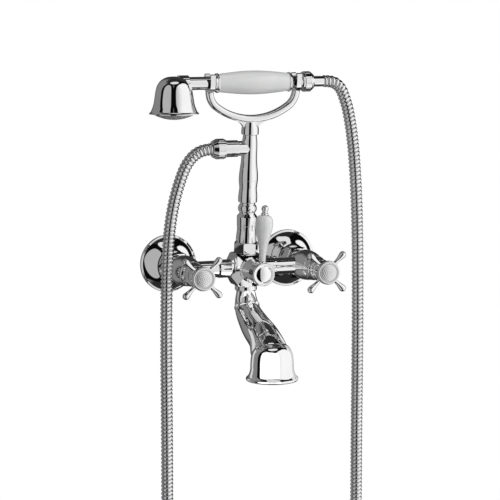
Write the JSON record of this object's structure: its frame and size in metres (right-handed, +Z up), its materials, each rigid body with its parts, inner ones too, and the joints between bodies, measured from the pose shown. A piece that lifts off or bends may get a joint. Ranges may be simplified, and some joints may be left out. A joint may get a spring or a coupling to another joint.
{
  "type": "wall mounted bath shower mixer",
  "caption": "Traditional chrome wall mounted bath and shower mixer with cross handles, a porcelain diverter lever and a telephone handset on a cradle",
  "frame": {"origin": "on the finished wall face, midway between the centres of the two water inlets", "axes": "+X right along the wall as seen by someone facing it, +Y into the wall along the inlet studs, +Z up"},
  "size_m": [0.2611, 0.2048, 0.6772],
  "materials": {
    "chrome": "polished",
    "brass": "machined",
    "rubber": "matt",
    "disc_ceramic": "lapped",
    "porcelain": "gloss",
    "satin_chrome": "satin",
    "white_plastic": "moulded",
    "steel": "zinc plated",
    "spray_plate": "satin",
    "hose_metal": "polished"
  },
  "bodies": {
    "mixer": {"inlet_nipple_hot": "brass", "inlet_nipple_cold": "brass", "wall_flange_hot": "chrome", "wall_flange_cold": "chrome", "union_nut_hot": "chrome", "union_nut_cold": "chrome", "union_washers": "rubber", "mixer_body": "chrome", "headwork_hot": "brass", "headwork_cold": "brass", "fixed_discs": "disc_ceramic", "seat_seals": "rubber", "valve_shroud_hot": "chrome", "valve_shroud_cold": "chrome", "diverter_bonnet": "chrome", "column_nut": "chrome", "column_lower": "chrome", "column_middle": "chrome", "column_tee": "chrome", "body_seals": "rubber", "hose_outlet": "chrome", "check_valve": "white_plastic", "cradle": "chrome", "cradle_screw": "steel", "spout": "chrome", "spout_collar": "chrome", "flow_straightener": "white_plastic", "hose_washer_lower": "rubber", "hose_ferrule_lower": "brass", "hose_nut_lower": "chrome", "hose": "hose_metal"},
    "hot_handle": {"cross_handle_hot": "chrome", "spindle_hot": "brass", "turning_disc_hot": "disc_ceramic", "handle_screw_hot": "steel", "index_cap_hot": "satin_chrome"},
    "cold_handle": {"cross_handle_cold": "chrome", "spindle_cold": "brass", "turning_disc_cold": "disc_ceramic", "handle_screw_cold": "steel", "index_cap_cold": "satin_chrome"},
    "diverter": {"diverter_rotor": "white_plastic", "diverter_seals": "rubber", "diverter_hub": "chrome", "diverter_cap": "chrome", "lever_rod": "steel", "lever_handle": "porcelain", "lever_finial": "chrome"},
    "handset": {"shower_head": "chrome", "spray_face": "spray_plate", "spray_seal": "rubber", "handset_neck": "chrome", "handle_collars": "chrome", "handle_barrel": "porcelain", "core_tube": "brass", "handset_end": "chrome", "hose_washer_upper": "rubber", "hose_ferrule_upper": "chrome", "hose_nut_upper": "chrome"}
  },
  "joints": [
    {"name": "hot_handle_turn", "type": "hinge", "parent": "mixer", "child": "hot_handle", "pos_m": [-0.075, -0.132, 0], "axis": [0, -1, 0], "range_deg": [0, 90]},
    {"name": "cold_handle_turn", "type": "hinge", "parent": "mixer", "child": "cold_handle", "pos_m": [0.075, -0.132, 0], "axis": [0, 1, 0], "range_deg": [0, 90]},
    {"name": "diverter_turn", "type": "hinge", "parent": "mixer", "child": "diverter", "pos_m": [0, -0.12, 0], "axis": [0, 1, 0], "range_deg": [-45, 45]},
    {"name": "handset_lift", "type": "slide", "parent": "mixer", "child": "handset", "axis": [0, -0.1045, 0.9945], "range_m": [0, 0.06]}
  ]
}
